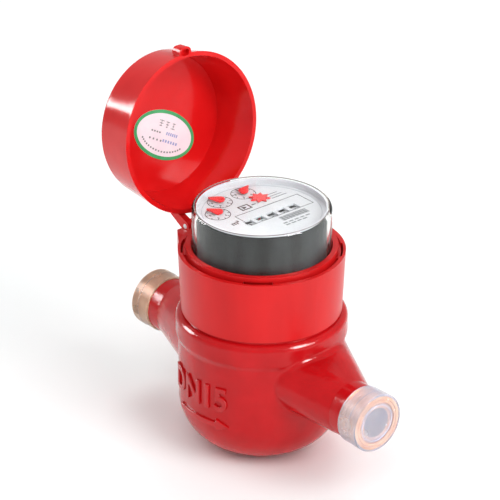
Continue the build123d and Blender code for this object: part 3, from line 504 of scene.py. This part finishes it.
def print_scale(bm, x, y):
    """The ring, ticks and every other number round a pointer."""
    loop(bm, x, y, SCALE_OUTER, SCALE_INNER, DIAL_TOP, PRINT_TOP)
    for i in range(SCALE_TICKS):
        a = 2 * math.pi * i / SCALE_TICKS
        c, s = math.cos(a), math.sin(a)
        stamp(bm, x + TICK_RADIUS * c, y + TICK_RADIUS * s, TICK_LENGTH, TICK_WIDTH, a)
        if i % 2 == 0:
            add_words(bm, str(i), NUMBER_SIZE, x - NUMBER_RADIUS * c, y + NUMBER_RADIUS * s, NUMBER_BOLD)


def print_black(bm):
    """The pointers' scales, the counter's frame, the unit, and a plain framed triangle with a dash."""
    for x, y in POINTER_PLACES:
        print_scale(bm, x, y)
    for place in COUNTER_FRAME:
        stamp(bm, *place)
    add_words(bm, "m³", UNIT_SIZE, UNIT_X, UNIT_Y, UNIT_BOLD)
    for place in SIGN_FRAME:
        stamp(bm, *place)
    slab(bm, SIGN_TRIANGLE, DIAL_TOP, PRINT_TOP)
    stamp(bm, *SIGN_DASH)


def print_grey(bm):
    """Three plain lines, a row of stripes, and two rows of dashes in place of words."""
    for place in PLAIN_LINES:
        stamp(bm, *place)
    for stripe in range(STRIPE_COUNT):
        width = STRIPE_WIDTHS[stripe % len(STRIPE_WIDTHS)]
        stamp(bm, STRIPE_X, STRIPE_START + STRIPE_STEP * stripe, STRIPE_LENGTH, width)
    for line, words in enumerate(WORDS_IN_LINE):
        for word in range(words):
            stamp(bm, WORDS_X + LINE_STEP * line, WORDS_Y + WORD_STEP * word, *WORD_SIZE)


def print_margin(bm):
    loop(bm, 0, 0, MARGIN_OUTER, MARGIN_INNER, DIAL_TOP, PRINT_TOP, ROUND_STEPS)


def make_dial_print(materials):
    for name, draw, finish in (
        ("dial_print_grey", print_grey, "print_grey"),
        ("dial_print_black", print_black, "print_black"),
        ("dial_ring", print_margin, "print_faint"),
    ):
        bm = bmesh.new()
        draw(bm)
        piece(name, to_mesh(bm, name), materials[finish], "meter")


# The wall that rises round the dial, dark outside and white inside, with a white bezel over it
WELL_RADIUS, WELL_TOP, WELL_DEPTH = 31.06, 122.95, 2.5
WELL_SKIN, WELL_WIDTH = 0.1, 0.5
LINING_GAP, BEZEL_GAP, BEZEL_TOP = 0.12, 0.02, 1.1
# A dark ring inside the clear cover's wall, just under its top, is painted refraction: it stands for the dark
# line that the cover's rounded edge shows
EDGE_OUTER, EDGE_INNER = COVER_RADIUS - 1.0, COVER_RADIUS - 1.4
EDGE_LOW, EDGE_HIGH, EDGE_STEPS = COVER_TOP - 0.75, COVER_TOP - 0.5, 96


def make_dial_well(materials):
    bm = bmesh.new()
    loop(bm, 0, 0, WELL_RADIUS, WELL_RADIUS - WELL_SKIN, DIAL_TOP - WELL_DEPTH, WELL_TOP, ROUND_STEPS)
    piece("housing_rim", to_mesh(bm, "housing_rim"), materials["black_plastic"], "meter")
    bm = bmesh.new()
    inner = WELL_RADIUS - WELL_WIDTH
    loop(bm, 0, 0, WELL_RADIUS - LINING_GAP, inner, DIAL_TOP, WELL_TOP, ROUND_STEPS)
    loop(bm, 0, 0, WELL_RADIUS, inner, WELL_TOP + BEZEL_GAP, WELL_TOP + BEZEL_TOP, ROUND_STEPS)
    piece("dial_rim", to_mesh(bm, "dial_rim"), materials["dial_white"], "meter")


# Painted refraction: a dark ring inside the cover's wall, under its rounded top.
def make_cover_edge(materials):
    bm = bmesh.new()
    loop(bm, 0, 0, EDGE_OUTER, EDGE_INNER, EDGE_LOW, EDGE_HIGH, EDGE_STEPS)
    mesh = to_mesh(bm, "cover_edge_refraction")
    piece("cover_edge_refraction", mesh, materials["cover_edge_refraction"], "meter", smooth=True)


# Digits printed round the rollers, ten to the turn
DIGIT_SIZE, DIGIT_THICKNESS, DIGIT_TURN = 5.4, 0.06, 36


def roller_digit(digit, centre):
    """A digit bent round its roller, in its place among ten."""
    mesh = text_mesh(str(digit), DIGIT_SIZE, DIGIT_THICKNESS)
    for v in mesh.vertices:
        across, up, out = v.co
        angle = up / ROLLER_RADIUS + math.radians(DIGIT_TURN * digit)
        radius = ROLLER_RADIUS + out
        x, z = ROLLER_X - radius * math.sin(angle), ROLLER_HEIGHT + radius * math.cos(angle)
        v.co = (x, centre + across, z)
    return mesh


def make_roller_digits(materials):
    for index in range(ROLLER_COUNT):
        bm = bmesh.new()
        for digit in range(10):
            take_mesh(bm, roller_digit(digit, FIRST_ROLLER + ROLLER_PITCH * index))
        name = f"roller_digits_{index + 1}"
        piece(name, to_mesh(bm, name), materials["print_black"], f"roller_{index + 1}")


# Print on the sticker, drawn as inside the closed lid and then opened with it
STICKER_FACE = LID_INNER_TOP - STICKER_THICKNESS
STICKER_PRINT = 0.05
OPENED = (
    Matrix.Translation(HINGE) @ Matrix.Rotation(-LID_OPENING, 4, "Y") @ Matrix.Translation(-HINGE))
BORDER_WIDTH, BORDER_STEPS = 1.7, 96
GLYPH_COUNT, GLYPH_STEP = 3, 4.0
STROKE_TOP, STROKE_STEP, STROKE_LENGTH, STROKE_WIDTH = 6.5, 1.3, 3.0, 0.32
STEM_MIDDLE, STEM_HEIGHT = 5.2, 3.2
# Rows of dashes: how many in each, and each row's first place and step to the right, its place up, and
# the width and height of its dashes
GREY_ROWS = (4, ((-8.2, 1.7, 0.6, 1.0, 0.8), (-8.2, 2.4, -3.2, 0.9, 0.9)))
BLUE_ROWS = (6, ((1.4, 1.3, 1.1, 0.8, 1.5), (0.6, 1.7, -2.7, 1.0, 1.4)))
ARC_DASHES, ARC_START, ARC_STEP, ARC_LEAN = 17, -150, 7.4, 0.3
ARC_REACH, ARC_RISE, ARC_DASH = 14.6, 8.2, (0.9, 0.8)


def dash(bm, right, up, wide, tall, tilt=0.0):
    """A printed dash, placed by the reader's right and up from the middle of the sticker."""
    c, s = math.cos(STICKER_TURN), math.sin(STICKER_TURN)
    x, y = STICKER_X - right * c - up * s, STICKER_Y - right * s + up * c
    bar(bm, x, y, wide, tall, STICKER_TURN + tilt, STICKER_FACE - STICKER_PRINT, STICKER_FACE)


def dash_rows(bm, count, rows):
    for word in range(count):
        for first, step, up, wide, tall in rows:
            dash(bm, first + step * word, up, wide, tall)


def print_sticker_border(bm):
    outer, squash = STICKER_LENGTH / 2, STICKER_WIDTH / STICKER_LENGTH
    loop(bm, STICKER_X, STICKER_Y, outer, outer - BORDER_WIDTH, STICKER_FACE - STICKER_PRINT, STICKER_FACE,
         BORDER_STEPS, squash, STICKER_TURN)


def print_sticker_lines(bm):
    """Glyphs of strokes across a stem, two short rows of dashes and an arc of them, all unreadable."""
    for glyph in range(GLYPH_COUNT):
        right = GLYPH_STEP * (glyph - 1)
        for row in range(3):
            length = STROKE_LENGTH - (0.6 * (row + glyph)) % 2
            dash(bm, right, STROKE_TOP - STROKE_STEP * row, length, STROKE_WIDTH)
        dash(bm, right, STEM_MIDDLE, STROKE_WIDTH, STEM_HEIGHT)
    dash_rows(bm, *GREY_ROWS)
    for word in range(ARC_DASHES):
        a = math.radians(ARC_START + ARC_STEP * word)
        dash(bm, ARC_REACH * math.cos(a), ARC_RISE * math.sin(a), *ARC_DASH, -ARC_LEAN * (a + QUARTER_TURN))


def print_sticker_stamp(bm):
    dash_rows(bm, *BLUE_ROWS)


def make_sticker(materials):
    for name, draw, finish, slot in (
        ("sticker_border", print_sticker_border, "sticker_green", "sticker"),
        ("sticker_lines", print_sticker_lines, "print_grey", "black_plastic"),
        ("sticker_stamp", print_sticker_stamp, "print_blue", "black_plastic"),
    ):
        bm = bmesh.new()
        draw(bm)
        piece(name, to_mesh(bm, name, OPENED), materials[finish], "lid")


# Stage, in metres, degrees and watts. Soft lamps give the diffuse light, and windows the highlights.
FLOOR_REACH = 6
SKY_STRENGTH = 0.58
LAMP_AIM = Vector((0, 0, 0.09))
LAMPS = {
    "key": dict(heading=8, height=36, away=1.5, size=(0.9, 0.9), power=14, window=False),
    "back": dict(heading=140, height=50, away=1.6, size=(0.8, 0.8), power=7, window=False),
    "front": dict(heading=-60, height=52, away=1.8, size=(1.0, 1.0), power=7, window=False),
    "window_left": dict(heading=-152, height=20, away=1.3, size=(0.46, 0.62), power=24, window=True),
    "window_right": dict(heading=14, height=30, away=1.3, size=(0.56, 0.60), power=46, window=True),
}


def make_floor(materials):
    r = FLOOR_REACH
    mesh = bpy.data.meshes.new("floor")
    mesh.from_pydata([(-r, -r, 0), (r, -r, 0), (r, r, 0), (-r, r, 0)], [], [(0, 1, 2, 3)])
    floor = bpy.data.objects.new("floor", mesh)
    bpy.context.scene.collection.objects.link(floor)
    mesh.materials.append(materials["floor"])


def make_sky():
    world = bpy.data.worlds.new("studio")
    bpy.context.scene.world = world
    world.use_nodes = True
    sky = world.node_tree.nodes["Background"]
    sky.inputs["Color"].default_value = (1, 1, 1, 1)
    sky.inputs["Strength"].default_value = SKY_STRENGTH


def make_lamp(name, heading, height, away, size, power, window):
    a, e = math.radians(heading), math.radians(height)
    spot = away * Vector((math.cos(a) * math.cos(e), math.sin(a) * math.cos(e), math.sin(e)))
    data = bpy.data.lights.new(name, "AREA")
    data.shape, data.energy = "RECTANGLE", power
    data.size, data.size_y = size
    lamp = bpy.data.objects.new(name, data)
    bpy.context.scene.collection.objects.link(lamp)
    lamp.location = spot + LAMP_AIM
    lamp.rotation_mode = "QUATERNION"
    lamp.rotation_quaternion = spot.to_track_quat("Z", "Y")
    lamp.visible_diffuse, lamp.visible_glossy = not window, window


def make_stage(materials):
    make_floor(materials)
    make_sky()
    for name, lamp in LAMPS.items():
        make_lamp(name, **lamp)
    bpy.context.scene.view_settings.view_transform = "Standard"


make_camera()
materials = make_materials()
dress_nodes(materials)
make_threads(materials)
make_cap_rings(materials)
make_mark(materials)
make_dial_print(materials)
make_dial_well(materials)
make_cover_edge(materials)
make_roller_digits(materials)
make_sticker(materials)
make_stage(materials)
